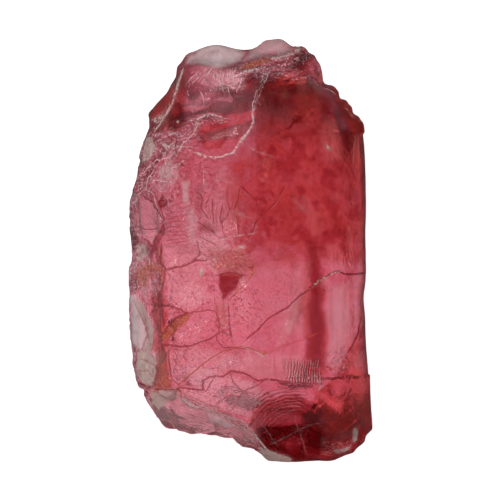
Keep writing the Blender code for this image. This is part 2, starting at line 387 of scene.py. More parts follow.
# Seams where iron has stained the stone.
STAINED_SEAMS = (
    ((180, 382), (194, 370), (209, 357), (223, 350), (243, 345), (263, 352), (283, 343), (312, 333)),
    ((141, 383), (160, 387), (182, 389)),
    ((161, 248), (163, 262), (163, 288)),
    ((164, 333), (170, 324), (180, 315), (193, 310)),
    ((326, 276), (314, 282), (304, 290)),
    ((252, 262), (251, 274), (243, 286), (232, 298)),
    ((216, 303), (219, 316), (222, 328)),
    ((282, 190), (275, 202), (262, 216)),
    ((311, 94), (305, 112), (301, 137)),
    ((304, 99), (300, 112), (298, 124)),
    ((312, 112), (309, 124)),
)
# Thin hackles below the cap, in a loose fan.
FAN = (
    ((209, 69), (203, 78), (194, 86)),
    ((205, 73), (198, 82)),
    ((212, 72), (207, 80), (203, 85)),
    ((216, 74), (212, 84), (209, 93)),
    ((219, 75), (216, 86), (213, 94)),
    ((222, 73), (220, 82), (219, 91)),
    ((225, 75), (223, 84), (223, 93)),
    ((228, 72), (228, 84), (230, 96)),
    ((232, 72), (229, 80)),
    ((236, 71), (233, 81)),
    ((198, 76), (190, 84)),
    ((200, 94), (204, 104)),
    ((214, 69), (211, 76)),
)
crack_gap = along_lines(CRACKS)
vein_gap = along_lines(VEINS)
ridge_gap = along_lines(RIDGES)
scratch_gap = along_lines(SCRATCHES + FAN)
seam_gap = along_lines(STAINED_SEAMS)

# Deeper red parts of the crystal, which go right through it: partly its deeper colour, and partly painted
# shade, as in the dark band at the right.
deep_red_and_shade = zones(
    (((258, 84), (300, 78), (322, 96), (340, 130), (400, 135), (400, 268), (330, 262), (300, 246),
      (266, 240), (252, 215), (254, 175)), 9, 1.0),
    (((222, 158), (262, 146), (270, 250), (246, 262), (230, 226)), 13, 0.62),
    (((256, 236), (306, 240), (310, 268), (270, 264)), 10, 0.5),
    (((322, 60), (400, 60), (400, 140), (340, 140)), 8, 0.2),
    (((220, 274), (243, 273), (238, 285), (223, 300)), 1.5, 1.0),
    (((362, 268), (400, 268), (400, 490), (316, 490), (312, 388), (332, 376), (347, 352),
      (357, 330)), 5, 1.0),
    # The dark band at the right: painted shade.
    (((303, 244), (318, 238), (324, 286), (326, 372), (304, 374), (300, 300)), 7, 0.95),
    (((146, 92), (172, 72), (186, 76), (186, 124), (180, 132), (150, 134)), 3, 0.8),
    (((234, 80), (256, 78), (256, 96), (244, 118), (232, 112)), 6, 0.4),
    (oval(308, 66, 10, 11), 4, 0.5),
    (((150, 290), (168, 296), (172, 348), (173, 388), (158, 392), (156, 340)), 3, 1.0),
    (((198, 128), (226, 124), (232, 140), (222, 152), (202, 152)), 3, 0.8),
    (((250, 408), (266, 396), (296, 390), (318, 402), (325, 446), (310, 470), (270, 470), (262, 444),
      (250, 424)), 4, 1.0),
    column=True,
)
# Dark maroon places on its upper side: partly dark stone, and partly painted shade, as in the dark band
# at the right, the pocket at the upper left and below the cap.
maroon_and_shade = zones(
    (((252, 410), (266, 397), (296, 391), (316, 402), (325, 446), (310, 470), (270, 470), (262, 440),
      (252, 424)), 4, 1.0),
    (((245, 400), (258, 386), (290, 384), (304, 392), (272, 398), (254, 412)), 4, 0.2),
    # Painted shade below the cap, over the hackles.
    (oval(217, 82, 18, 11), 6, 0.5),
    (((165, 226), (168, 230), (160, 250), (152, 253), (156, 241)), 1.5, 0.8),
    (((145, 240), (152, 246), (150, 253), (142, 247)), 1.5, 0.6),
    (((128, 225), (133, 230), (140, 246), (135, 252), (129, 248)), 1.5, 1.0),
    (((141, 158), (150, 157), (146, 172), (138, 178)), 2, 0.4),
    (((158, 246), (166, 246), (166, 302), (160, 300)), 2, 0.65),
    (((284, 360), (322, 358), (322, 381), (286, 380)), 4, 0.35),
    (((328, 288), (331, 288), (333, 340), (329, 340)), 1.5, 0.3),
    (((343, 290), (345, 290), (343, 330), (341, 330)), 1.5, 0.25),
    # Painted shade that dims the glints beside the cap.
    (oval(238, 82, 13, 8), 4, 0.7),
    # Painted shade in the pocket at the upper left.
    (((168, 124), (175, 102), (181, 104), (186, 120), (180, 129), (169, 131)), 2, 0.85),
    (oval(248, 81, 8, 5, 12), 3, 0.6),
    (oval(284, 85, 17, 6, -6), 4, 0.35),
    (((220, 275), (243, 274), (237, 288), (224, 301)), 2.5, 1.0),
    # The dark band at the right: painted shade.
    (((309, 286), (317, 280), (322, 300), (323, 366), (308, 364), (306, 320)), 5, 1.0),
    (((304, 244), (316, 240), (322, 290), (310, 292)), 5, 0.85),
    (((178, 414), (204, 410), (214, 424), (192, 428)), 3, 0.5),
    (((181, 394), (190, 396), (198, 406), (188, 402)), 1.5, 0.6),
    (((160, 414), (176, 414), (184, 428), (170, 424)), 3, 0.3),
    (((224, 418), (240, 424), (246, 434), (230, 430)), 3, 0.3),
    (oval(164, 203, 6, 6), 2, 1.0),
    # Painted shadow beside a ridge at the left.
    (((197, 186), (206, 184), (204, 200), (201, 218), (198, 214)), 2.5, 0.4),
    (oval(130, 241, 3, 7), 2, 1.0),
    (oval(297, 123, 6, 3.5, 35), 1.5, 1.0),
    (oval(289, 131, 4, 2, 35), 1.5, 0.9),
    (oval(250, 266, 2, 2), 1, 1.0),
    (oval(207, 229, 9, 5, -10), 2.5, 0.65),
    (((290, 56), (302, 48), (316, 60), (321, 80), (304, 78), (292, 70)), 4, 0.85),
    (((358, 124), (364, 124), (364, 205), (359, 205)), 2, 0.6),
    (((327, 195), (345, 195), (345, 235), (330, 235)), 6, 0.2),
    (oval(318, 248, 8, 11, 20), 5, 0.35),
    (((353, 190), (360, 190), (360, 222), (354, 222)), 3, 0.3),
    (((159, 350), (168, 350), (174, 388), (152, 392), (160, 372)), 3, 0.95),
    (((152, 298), (164, 302), (162, 350), (154, 350)), 4, 0.3),
)
# A smooth, milky surface that hides part of the colour, and painted sheen and highlights on the cap and
# beside a ridge at the left.
milk_and_sheen = zones(
    (((187, 64), (190, 57), (200, 49), (216, 44), (232, 47), (243, 53), (240, 61), (226, 67), (216, 69),
      (204, 65), (190, 65)), 4, 0.8),
    (((244, 62), (250, 50), (258, 45), (268, 38), (279, 37), (288, 43), (292, 49), (284, 54), (271, 54),
      (258, 58)), 4, 0.5),
    (((129, 297), (136, 296), (143, 318), (147, 345), (140, 352), (131, 346)), 2.5, 0.85),
    (((150, 404), (180, 394), (204, 404), (236, 418), (256, 440), (238, 440), (190, 430),
      (162, 420)), 4, 0.22),
    (oval(192, 404, 5, 2.5, -35), 1.5, 0.8),
    (((206, 410), (222, 414), (238, 424), (228, 428), (210, 420)), 3, 0.6),
    # Painted sheen beside a ridge at the left.
    (((184, 182), (190, 182), (191, 206), (185, 204)), 2, 0.45),
    (((187, 200), (196, 214), (197, 246), (190, 246)), 3, 0.3),
    (((145, 198), (155, 206), (165, 224), (153, 246), (139, 233), (134, 216)), 2, 0.12),
    (((166, 246), (199, 246), (202, 262), (186, 267), (166, 267)), 2, 0.12),
    (((168, 270), (203, 266), (206, 298), (190, 308), (170, 300)), 2, 0.1),
    (oval(168, 174, 9, 6), 2, 0.4),
    (((202, 68), (244, 70), (244, 92), (206, 92)), 5, 0.12),
    # A painted highlight on the cap.
    (oval(218, 59, 8, 9), 4, 1.0),
    (((306, 290), (322, 284), (323, 366), (308, 364)), 4, 0.02),
    (((296, 268), (306, 262), (300, 330), (282, 330)), 8, 0.12),
    (((328, 288), (346, 288), (348, 326), (340, 350), (330, 346)), 5, 0.14),
)
# Chalky, frosted breaks, and a few small painted highlights.
frost_and_highlight = zones(
    (((137, 297), (144, 304), (150, 318), (156, 334), (154, 346), (152, 354), (158, 364), (158, 373),
      (153, 383), (146, 387), (138, 376), (136, 354), (145, 350), (147, 336), (141, 316)), 2, 0.85),
    (((148, 393), (160, 388), (178, 388), (180, 396), (168, 402), (160, 410), (152, 403)), 2.5, 0.9),
    (((142, 136), (152, 136), (158, 148), (150, 162), (140, 162)), 3, 0.75),
    (((136, 246), (146, 244), (148, 258), (136, 262)), 2, 0.7),
    (((256, 444), (272, 449), (292, 457), (292, 464), (262, 462)), 3, 0.9),
    (((150, 118), (166, 112), (164, 122), (154, 124)), 2, 0.6),
    (oval(354, 434, 3.2, 8), 2, 0.9),
    (((330, 447), (342, 446), (351, 443), (348, 450), (336, 451)), 2, 0.75),
    (oval(298, 50, 4, 3), 2.5, 0.75),
    (oval(280, 59, 6, 2, 25), 2.5, 0.55),
    (oval(290, 54, 3, 2, 25), 2, 0.5),
    # Painted highlights, drawn as frost.
    (oval(242, 248, 5, 3, 20), 2.5, 0.6),
    (oval(203, 273, 1.6, 5), 1, 0.9),
    (oval(326, 149, 2, 5, 30), 2, 0.5),
    (oval(178, 123, 1.5, 1.5), 1, 0.9),
    (oval(196, 138, 1.5, 1.5), 1, 0.9),
    (oval(166, 148, 2, 3, 20), 1, 0.9),
    (((236, 414), (250, 424), (258, 440), (252, 442), (240, 426)), 2.5, 0.5),
)
# Iron stains.
rust = zones(
    (((163, 334), (167, 324), (178, 315), (194, 309), (188, 320), (176, 331), (166, 338)), 1.5, 1.0),
    (((134, 270), (144, 262), (158, 262), (164, 272), (152, 276), (148, 288), (138, 288)), 3, 0.85),
    (((159, 352), (165, 349), (170, 362), (174, 384), (167, 390), (150, 395), (145, 391), (156, 382),
      (161, 368)), 2.5, 0.72),
    (((205, 250), (248, 248), (253, 262), (240, 274), (214, 272)), 5, 0.75),
    (((218, 302), (229, 304), (231, 328), (223, 322)), 3, 0.7),
    (((238, 73), (246, 66), (262, 60), (272, 58), (272, 64), (258, 69), (246, 74)), 2.5, 0.95),
    (oval(272, 370, 26, 10), 6, 0.3),
    (((348, 140), (357, 142), (358, 170), (352, 172)), 3, 0.4),
    (oval(251, 271, 3, 3), 1.5, 0.8),
)
# Painted glow: paler places where light comes up through the stone, and a few painted glints.
painted_glow = zones(
    (((325, 286), (348, 284), (351, 330), (342, 356), (328, 352)), 5, 0.8),
    (((334, 290), (341, 289), (340, 322), (334, 324)), 2, 1.0),
    (((345, 292), (350, 292), (348, 322), (344, 322)), 1.5, 1.0),
    (oval(332, 338, 4, 7, 10), 2, 1.0),
    (((352, 276), (361, 276), (362, 318), (354, 330)), 2.5, 0.9),
    (((196, 186), (236, 184), (240, 236), (200, 244)), 8, 0.5),
    (((167, 348), (214, 348), (222, 352), (181, 380), (172, 374)), 2, 0.6),
    (((184, 388), (204, 388), (206, 378), (228, 372), (256, 384), (262, 392), (240, 410),
      (200, 400)), 2, 1.0),
    (((184, 382), (225, 352), (300, 352), (300, 377), (262, 376), (232, 367), (206, 374),
      (202, 384)), 4, 0.7),
    (((300, 198), (308, 200), (318, 216), (321, 232), (312, 236), (304, 222)), 3, 0.55),
    (oval(334, 358, 8, 7), 2, 0.9),
    (oval(322, 282, 6, 5, 40), 2, 0.8),
    (((330, 396), (336, 384), (340, 400), (336, 424), (331, 420)), 3, 0.35),
    (((244, 262), (300, 256), (298, 292), (250, 334), (234, 310)), 6, 0.3),
    (((192, 96), (206, 100), (246, 97), (244, 113), (206, 117), (190, 110)), 4, 0.75),
    (oval(240, 133, 9, 6), 2, 0.5),
    (((322, 118), (336, 122), (340, 160), (328, 164), (320, 144)), 6, 0.75),
    (((325, 246), (334, 243), (342, 254), (345, 270), (330, 272)), 2.5, 0.65),
    (((345, 226), (350, 226), (352, 268), (347, 268)), 1.5, 0.5),
    (((357, 222), (362, 222), (362, 272), (358, 272)), 1.5, 0.5),
    (oval(334, 196, 6, 4, 20), 3, 0.35),
    (oval(309, 182, 5, 3), 3, 0.3),
    (oval(283, 98, 5, 5), 2, 0.45),
    (oval(284, 118, 13, 9), 5, 0.35),
    (oval(262, 112, 9, 13), 5, 0.3),
    (((298, 84), (320, 88), (318, 112), (300, 108)), 4, 0.8),
    (oval(266, 166, 8, 5), 2.5, 0.4),
    (oval(221, 137, 13, 5, 8), 3, 0.55),
    (((140, 278), (160, 280), (158, 296), (144, 296)), 2, 0.6),
    # Painted glints.
    (oval(262, 181, 2, 2), 1, 0.9),
    (oval(265, 176, 2, 2), 1, 0.9),
)
# Painted glow that goes right through it, where light comes up through the stone.
painted_glow_through = zones(
    (((326, 288), (347, 286), (350, 326), (342, 354), (330, 350)), 5, 0.8),
    (((353, 274), (368, 274), (368, 322), (354, 330)), 2.5, 0.8),
    (((355, 350), (372, 350), (374, 410), (360, 410)), 4, 0.4),
    column=True,
)
painted_glow = np.maximum(painted_glow, painted_glow_through)
# Parts of a clearer red, all the way through.
ember = zones(
    (((330, 88), (344, 96), (356, 108), (370, 124), (370, 166), (356, 166), (350, 134),
      (338, 112)), 5, 1.0),
    (oval(306, 106, 13, 16), 6, 0.8),
    (oval(282, 86, 12, 8), 5, 0.6),
    (((148, 104), (168, 86), (180, 92), (176, 118), (156, 124)), 5, 0.7),
    (((350, 368), (374, 368), (374, 420), (356, 416)), 4, 0.8),
    (((314, 398), (330, 394), (354, 402), (356, 426), (330, 430), (322, 412)), 4, 0.75),
    column=True,
)
# Crushed and splintered places, between and around the smooth faces.
broken = zones(
    (((140, 134), (160, 132), (182, 134), (188, 122), (197, 118), (197, 130), (184, 152), (178, 160),
      (186, 178), (176, 186), (160, 184), (150, 196), (138, 196), (136, 170)), 3, 0.9),
    (((126, 200), (140, 196), (134, 216), (139, 234), (150, 248), (150, 262), (126, 262)), 3, 0.8),
    (((128, 262), (148, 256), (166, 266), (164, 292), (146, 292), (130, 292)), 3, 1.0),
    (((150, 300), (166, 304), (164, 340), (160, 352), (152, 346)), 3, 0.3),
    (((180, 386), (204, 400), (232, 412), (246, 420), (254, 436), (262, 450), (256, 454), (244, 444),
      (234, 424), (206, 412), (184, 400)), 3, 0.9),
    (((187, 72), (181, 88), (175, 102), (166, 117), (157, 131), (151, 128), (162, 112), (170, 98),
      (176, 84), (181, 72)), 2, 0.8),
    (((236, 80), (240, 66), (262, 58), (284, 50), (296, 44), (304, 48), (300, 62), (288, 72),
      (262, 80)), 3, 0.8),
    (((302, 46), (316, 54), (322, 70), (324, 92), (304, 84), (286, 80), (299, 64)), 3, 0.3),
    (((266, 76), (285, 73), (303, 77), (316, 82), (322, 90), (302, 84), (285, 80), (268, 82)), 2, 0.7),
    (((192, 130), (200, 118), (224, 116), (230, 124), (222, 128), (206, 126), (198, 136)), 2.5, 0.8),
    (((326, 350), (344, 346), (352, 362), (340, 374), (326, 368)), 3, 0.7),
    (((206, 248), (240, 244), (253, 262), (240, 274), (214, 272)), 3, 0.7),
    (((216, 302), (230, 304), (232, 335), (222, 330)), 2, 0.6),
    (((162, 190), (178, 188), (180, 206), (166, 210), (158, 204)), 3, 0.6),
    (((236, 384), (262, 388), (252, 412), (240, 408)), 4, 0.15),
    (((136, 352), (158, 356), (158, 388), (142, 386)), 3, 0.5),
    (((320, 436), (352, 440), (346, 452), (322, 452)), 3, 0.5),
)
# Faces dotted with small dark pits.
pitted = zones(
    (((232, 290), (262, 288), (264, 318), (244, 326), (236, 320)), 5, 1.0),
    (((197, 190), (216, 188), (214, 214), (198, 214)), 4, 0.8),
    (((268, 268), (290, 270), (286, 300), (268, 300)), 6, 0.5),
    (((136, 362), (156, 366), (157, 386), (142, 384)), 3, 0.8),
    (((168, 350), (214, 350), (182, 380)), 4, 0.4),
    (((184, 390), (236, 376), (250, 390), (226, 400)), 5, 0.4),
)

# Families of fine parallel lines: hackles, combs and ripples. Each has an outline and its softness, a
# count of the lines across it, and how pale and how dark they are.
BOWL_MIDDLE = (295, 445)
bowl_radius = np.hypot(across_worn - BOWL_MIDDLE[0], down_worn - BOWL_MIDDLE[1])
HACKLES = (
    (((283, 358), (318, 358), (321, 379), (286, 379)), 2, across_worn / 2.7 + down_worn / 30, 0.9, 1.0),
    (
        ((246, 402), (262, 388), (304, 386), (300, 404), (270, 424), (252, 420)),
        3, bowl_radius / 3.6, 0.35, 0.5,
    ),
    (
        ((181, 390), (192, 393), (208, 402), (232, 411), (230, 418), (206, 412), (184, 402)),
        1.5, (down - across * 0.44) / 2.4, 1.0, 1.0,
    ),
    (
        ((230, 414), (246, 424), (256, 442), (244, 438), (232, 424)),
        2, (down - across * 0.7) / 3.0, 0.7, 0.8,
    ),
    (
        ((170, 206), (188, 196), (196, 214), (196, 246), (168, 246)),
        3, down_worn / 4.2 + across_worn / 22, 0.15, 0.55,
    ),
    (((290, 200), (302, 200), (308, 212), (298, 214)), 2, (down - across * 0.55) / 2.2, 0.2, 1.0),
    (
        ((184, 408), (206, 412), (220, 424), (196, 424)),
        3, (down_worn - across_worn * 0.3) / 3.2, 0.2, 0.3,
    ),
)
hackle = np.zeros(len(places))
ripple = np.zeros(len(places))
phase = np.zeros(len(places))
for outline, soft, count, pale, dark in HACKLES:
    share = within(list(outline), soft) * upper
    phase = np.where(share * max(pale, dark) > np.maximum(hackle, ripple), count, phase)
    hackle = np.maximum(hackle, share * pale)
    ripple = np.maximum(ripple, share * dark)

# The left and lower parts broke roughly, and the upper right smoothly.
ROUGH_PART = (
    (100, 124), (196, 126), (226, 176), (250, 220), (244, 262),
    (232, 340), (250, 352), (262, 392), (250, 480), (100, 480),
)
# Smooth, glassy faces within the rough part.
smooth_faces = zones(
    (((139, 206), (150, 200), (160, 214), (164, 226), (154, 245), (142, 236)), 2, 0.85),
    (((167, 247), (198, 247), (201, 262), (186, 266), (167, 265)), 2, 0.7),
    (((169, 271), (202, 267), (204, 298), (189, 307), (171, 299)), 3, 0.5),
    (((174, 330), (192, 314), (214, 312), (217, 331), (196, 341), (176, 341)), 2, 0.5),
    (((176, 348), (216, 348), (186, 376)), 2, 0.4),
    (((186, 390), (206, 389), (208, 380), (228, 376), (252, 388), (226, 402)), 2, 0.4),
    (((130, 300), (136, 298), (143, 318), (146, 344), (138, 350), (131, 344)), 2, 0.8),
    (((150, 406), (180, 400), (214, 424), (190, 430), (164, 420)), 3, 0.5),
)
rough = zones((ROUGH_PART, 10, 1.0), column=True) * (1 - smooth_faces)
# The guessed underside broke roughly too, and no relief reaches the seat.
rough = np.maximum(rough, ramp(-normals[:, 2], 0.0, 0.3) * np.where(smooth_side, 0.1, 0.6))
relief_share = ramp(places[:, 2], 0.02, 0.4) * np.where(smooth_side, 0.3, 1.0)

# The relief between the larger breaks: small chips, crumbs and lumps, the groove of each crack and
# vein with the step across it, and the worn ridges. Spans and heights are in millimetres.
FACET_HEIGHT = 0.07
CHIP_HEIGHT = 0.024
CRUMB_HEIGHT = 0.020
LUMP_HEIGHT = 0.012


def rougher(least):
    """1 where the stone broke roughly, and the least share on its smooth faces."""
    return least + (1 - least) * rough


def rounded_line(gap, height, half_width):
    """A rounded ridge on a line. gap and half_width are in pixels."""
    return height * np.exp(-((gap / half_width) ** 2))


def step_across(gap, height, reach, half_width=1.6):
    """A step across a line, which dies away within its reach in pixels."""
    return height * np.tanh(gap / half_width) * np.exp(-np.abs(gap) / reach)


facet_height, facet_sheen_tone = shards(span=1.5, seed=21)
chip_height, chip_tone = shards(span=0.6, seed=22)
crumb_height, _ = shards(span=0.35, seed=23)
relief = FACET_HEIGHT * facet_height * rougher(least=0.2)
relief += CHIP_HEIGHT * chip_height * rougher(least=0.15)
relief += CRUMB_HEIGHT * crumb_height * broken
relief += LUMP_HEIGHT * grain(span=0.3, seed=12) * rougher(least=0.3)
relief -= rounded_line(crack_gap, height=0.035, half_width=1.4)
relief += step_across(crack_gap, height=0.028, reach=10)
relief -= rounded_line(vein_gap, height=0.02, half_width=1.2)
relief += step_across(vein_gap, height=0.02, reach=8)
relief += rounded_line(ridge_gap, height=0.03, half_width=1.8)
places = places + normals * (relief * relief_share)[:, None]

# Steps and nicks in the outline: the place and radius of each in pixels, and how far it stands out.
EDGE_STEPS = (
    ((177, 67), 6, 3.5),
    ((186, 54), 7, 2.5),
    ((170, 84), 7, 2.0),
    ((149, 113), 4, 2.0),
    ((147, 127), 4, -1.5),
    ((129, 272), 7, 2.5),
    ((128, 228), 8, 1.2),
    ((136, 388), 5, 2.0),
    ((142, 391), 3, -2.0),
    ((166, 427), 8, 3.0),
    ((192, 434), 5, 2.0),
    ((216, 437), 5, -1.5),
    ((233, 438), 3, -1.5),
    ((246, 444), 4, 1.0),
    ((268, 459), 6, 2.5),
    ((330, 462), 10, 2.0),
    ((352, 450), 4, 1.5),
    ((366, 438), 4, -1.5),
    ((373, 428), 4, 1.5),
    ((264, 40), 6, 2.5),
    ((310, 52), 5, -2.5),
    ((317, 61), 5, -2.0),
    ((325, 84), 6, -5.0),
    ((334, 93), 3, -1.0),
    ((341, 98), 4, -3.5),
    ((348, 106), 4, -2.5),
    ((354, 113), 5, -4.0),
    ((360, 121), 3, -1.0),
    ((365, 298), 14, -2.0),
)
LEAST_SIDEWAYS = 0.2
sideways = np.hypot(normals[:, 0], normals[:, 1])
step_out = np.zeros(len(places))
for (px, py), step_radius, stands_out in EDGE_STEPS:
    away = np.hypot(across - px, down - py) / step_radius
    step_out += stands_out * PIXEL * np.exp(-(away**2))
step_out *= ramp(sideways, LEAST_SIDEWAYS, 0.7) / np.maximum(sideways, LEAST_SIDEWAYS)
places[:, :2] += normals[:, :2] * step_out[:, None]
lowest, highest = (np.array(corner) / MM for corner in cad_box)
places = np.clip(places, lowest, highest)
crystal_mesh.vertices.foreach_set("co", (places * MM).astype(np.float32).ravel())
crystal_mesh.update()
crystal_mesh.shade_smooth()

MARKS = {
    "crack_gap": crack_gap,
    "vein_gap": vein_gap,
    "ridge_gap": ridge_gap,
    "scratch_gap": scratch_gap,
    "seam_gap": seam_gap,
    "deep_red_and_shade": deep_red_and_shade,
    "maroon_and_shade": maroon_and_shade,
    "milk_and_sheen": milk_and_sheen,
    "frost_and_highlight": frost_and_highlight,
    "rust": rust,
    "painted_glow": painted_glow,
    "ember": ember,
    "broken": broken,
    "pitted": pitted,
    "hackle": hackle,
    "ripple": ripple,
    "hackle_phase": phase,
    "rough": rough,
    "facet_sheen_tone": facet_sheen_tone,
    "chip_tone": chip_tone,
}


def carry_marks(mesh, points):
    """Writes the marks of the stone's numbered points onto a mesh of those points."""
    for name, values in MARKS.items():
        layer = mesh.attributes.new(name, "FLOAT", "POINT")
        layer.data.foreach_set("value", values[points].astype(np.float32))


carry_marks(crystal_mesh, np.arange(len(places)))


def feed(node, inputs):
    """Sets a node's inputs, each from a plain value or another node's output."""
    for name, value in inputs.items():
        if isinstance(value, bpy.types.NodeSocket):
            node.id_data.links.new(value, node.inputs[name])
        else:
            node.inputs[name].default_value = value


def put(tree, kind, inputs, **settings):
    """Adds a node and feeds it."""
    made = tree.nodes.new("ShaderNode" + kind)
    for name, value in settings.items():
        setattr(made, name, value)
    feed(made, inputs)
    return made


def calc(operation, *values):
    tree = next(value.id_data for value in values if isinstance(value, bpy.types.NodeSocket))
    return put(tree, "Math", dict(enumerate(values)), operation=operation).outputs[0]


def scaled(value, by, plus):
    return calc("MULTIPLY_ADD", value, by, plus)


def times(*values, share=1.0):
    """The product of some values, or a share of it."""
    total = values[0]
    for value in values[1:]:
        total = calc("MULTIPLY", total, value)
    return total if share == 1.0 else calc("MULTIPLY", total, share)


def most(*values):
    total = values[0]
    for value in values[1:]:
        total = calc("MAXIMUM", total, value)
    return total


def rise(value, low, high):
    ends = {"Value": value, "From Min": low, "From Max": high}
    return put(value.id_data, "MapRange", ends, interpolation_type="SMOOTHSTEP").outputs[0]


def line(gap, half_width):
    """1 on a line and 0 beside it, from the distance to it."""
    inner = times(half_width, 0.25) if isinstance(half_width, bpy.types.NodeSocket) else half_width * 0.25
    return rise(calc("ABSOLUTE", gap), half_width, inner)


def tint(mask, under, over, share=1.0):
    """Lays a colour over another where the mask is 1, or a share of it."""
    ends = {0: times(mask, share=share), 6: under, 7: over}
    return put(mask.id_data, "Mix", ends, data_type="RGBA").outputs[2]


# The stone's grain, for both its finishes: lumps, specks and upright streaks from 0 to 1, hairlines
# in patches where it broke roughly, scrapes where it is broken, and the waves of the hackles.
grain_group = bpy.data.node_groups.new("stone_grain", "ShaderNodeTree")
for name in ("Rough", "Broken", "Hackle Phase", "Hair Level", "Hair Width"):
    grain_group.interface.new_socket(name, in_out="INPUT", socket_type="NodeSocketFloat")
# How many of each lump there are to a millimetre, and how detailed it is.
LUMPS = {
    "Broad": (0.8, 2.0),
    "Cloud": (1.6, 4.0),
    "Fine": (6.0, 4.0),
    "Speck": (10.0, 1.0),
    "Hair": (1.5, 3.0),
}
# The turn of each streak about Z in degrees, and its length, width and depth in millimetres.
STREAKS = {
    "Upright": (90, (2.2, 0.17, 1.0)),
    "Scrape": (42, (2.6, 0.15, 0.8)),
    "Cross Scrape": (-20, (2.2, 0.2, 0.8)),
}
for name in (*LUMPS, "Upright", "Scrapes", "Hackle"):
    grain_group.interface.new_socket(name, in_out="OUTPUT", socket_type="NodeSocketFloat")
group_in = grain_group.nodes.new("NodeGroupInput").outputs
group_out = grain_group.nodes.new("NodeGroupOutput").inputs
object_place = put(grain_group, "TexCoord", {}).outputs["Object"]
in_mm = put(grain_group, "VectorMath", {0: object_place, "Scale": 1 / MM}, operation="SCALE").outputs[0]
lumps = {}
for name, (per_mm, detail) in LUMPS.items():
    settings = {"Vector": in_mm, "Scale": per_mm, "Detail": detail, "Roughness": 0.6}
    lumps[name] = put(grain_group, "TexNoise", settings).outputs["Fac"]
for name, (turn, span) in STREAKS.items():
    turned = {"Vector": in_mm, "Rotation": (0, 0, math.radians(turn)), "Scale": span}
    drawn_out = put(grain_group, "Mapping", turned, vector_type="TEXTURE").outputs[0]
    settings = {"Vector": drawn_out, "Scale": 1.0, "Detail": 1.0}
    lumps[name] = put(grain_group, "TexNoise", settings).outputs["Fac"]
# Hairlines follow one level of the lumps, and scrapes the middle of the drawn-out streaks.
patchy = times(most(group_in["Rough"], group_in["Broken"]), rise(lumps["Broad"], 0.4, 0.56))
hair_line = line(calc("SUBTRACT", lumps["Hair"], group_in["Hair Level"]), group_in["Hair Width"])
lumps["Hair"] = times(hair_line, patchy)
scrape_gaps = [calc("SUBTRACT", lumps.pop(name), 0.5) for name in ("Scrape", "Cross Scrape")]
scrapes = most(*(line(gap, half_width=0.035) for gap in scrape_gaps))
lumps["Scrapes"] = times(scrapes, group_in["Broken"])
waves = scaled(lumps["Cloud"], 1.3, group_in["Hackle Phase"])
lumps["Hackle"] = calc("SINE", times(waves, 2 * math.pi))
for name, value in lumps.items():
    grain_group.links.new(value, group_out[name])


def grained_finish(name, hair_level, hair_width):
    """A new material with the stone's grain in it: the material, its shader, its grain, and a reader
    for the marks that its points carry."""
    finish = bpy.data.materials.new(name)
    finish.use_nodes = True
    tree = finish.node_tree

    def mark(mark_name):
        return put(tree, "Attribute", {}, attribute_name=mark_name).outputs["Fac"]

    settings = {"Rough": mark("rough"), "Broken": mark("broken"), "Hackle Phase": mark("hackle_phase")}
    settings |= {"Hair Level": hair_level, "Hair Width": hair_width}
    grain_of = put(tree, "Group", settings, node_tree=grain_group).outputs
    return finish, tree.nodes["Principled BSDF"], grain_of, mark


# The crystal's colours, with those of its painted glow, shade, sheen and highlights.
ROSE = (0.90, 0.46, 0.61, 1)
DUSKY_ROSE = (0.84, 0.28, 0.38, 1)
BRIGHT_ROSE = (1.0, 0.90, 0.96, 1)
WARM_GLOW = (1.0, 0.50, 0.44, 1)
DEEP_RED = (0.50, 0.07, 0.08, 1)
EMBER_RED = (0.80, 0.20, 0.18, 1)
CLEAR_RED = (1.0, 0.20, 0.17, 1)
MAROON = (0.20, 0.008, 0.014, 1)
CLOUDY_AND_SHEEN_WHITE = (0.97, 0.80, 0.78, 1)
CRACK_RED = (0.24, 0.015, 0.025, 1)
RUST_ORANGE = (0.62, 0.15, 0.05, 1)
# How garnet bends light, how clear it is, and what a metre of it takes from the light.
GARNET_IOR = 1.76
CLEARNESS = 0.9
DEPTH_COLOUR = (0.985, 0.59, 0.65, 1)
DEPTH_DENSITY = 340.0
# The fine relief of the surface, in millimetres.
EVEN_CRUMBS = 0.018
ROUGH_CRUMBS = 0.018
BROKEN_CRUMBS = 0.025
EVEN_SWELL = 0.016
ROUGH_SWELL = 0.045
HACKLE_WAVE = 0.006
LINE_DEPTH = 0.03

crystal, surface, grain_of, mark = grained_finish("rhodolite_crystal", hair_level=0.5, hair_width=0.007)
tree = crystal.node_tree
cloud, fine = grain_of["Cloud"], grain_of["Fine"]
rough_mark = mark("rough")

# The rose-red ground, with its grains, and facets painted lighter or darker at random: a painted sheen
# and shade.
granular = scaled(rough_mark, 0.45, 0.25)
pale_grains = rise(fine, 0.5, 0.64)
dark_grains = rise(fine, 0.46, 0.34)
toned = times(rough_mark, share=0.6)
lit_facets = rise(mark("facet_sheen_tone"), 0.55, 1.0)
shaded_facets = rise(mark("facet_sheen_tone"), 0.45, 0.0)
colour = tint(rise(cloud, 0.35, 0.7), ROSE, DUSKY_ROSE)
colour = tint(times(pale_grains, granular), colour, BRIGHT_ROSE)
colour = tint(times(lit_facets, toned), colour, BRIGHT_ROSE)
colour = tint(times(shaded_facets, toned), colour, DUSKY_ROSE)

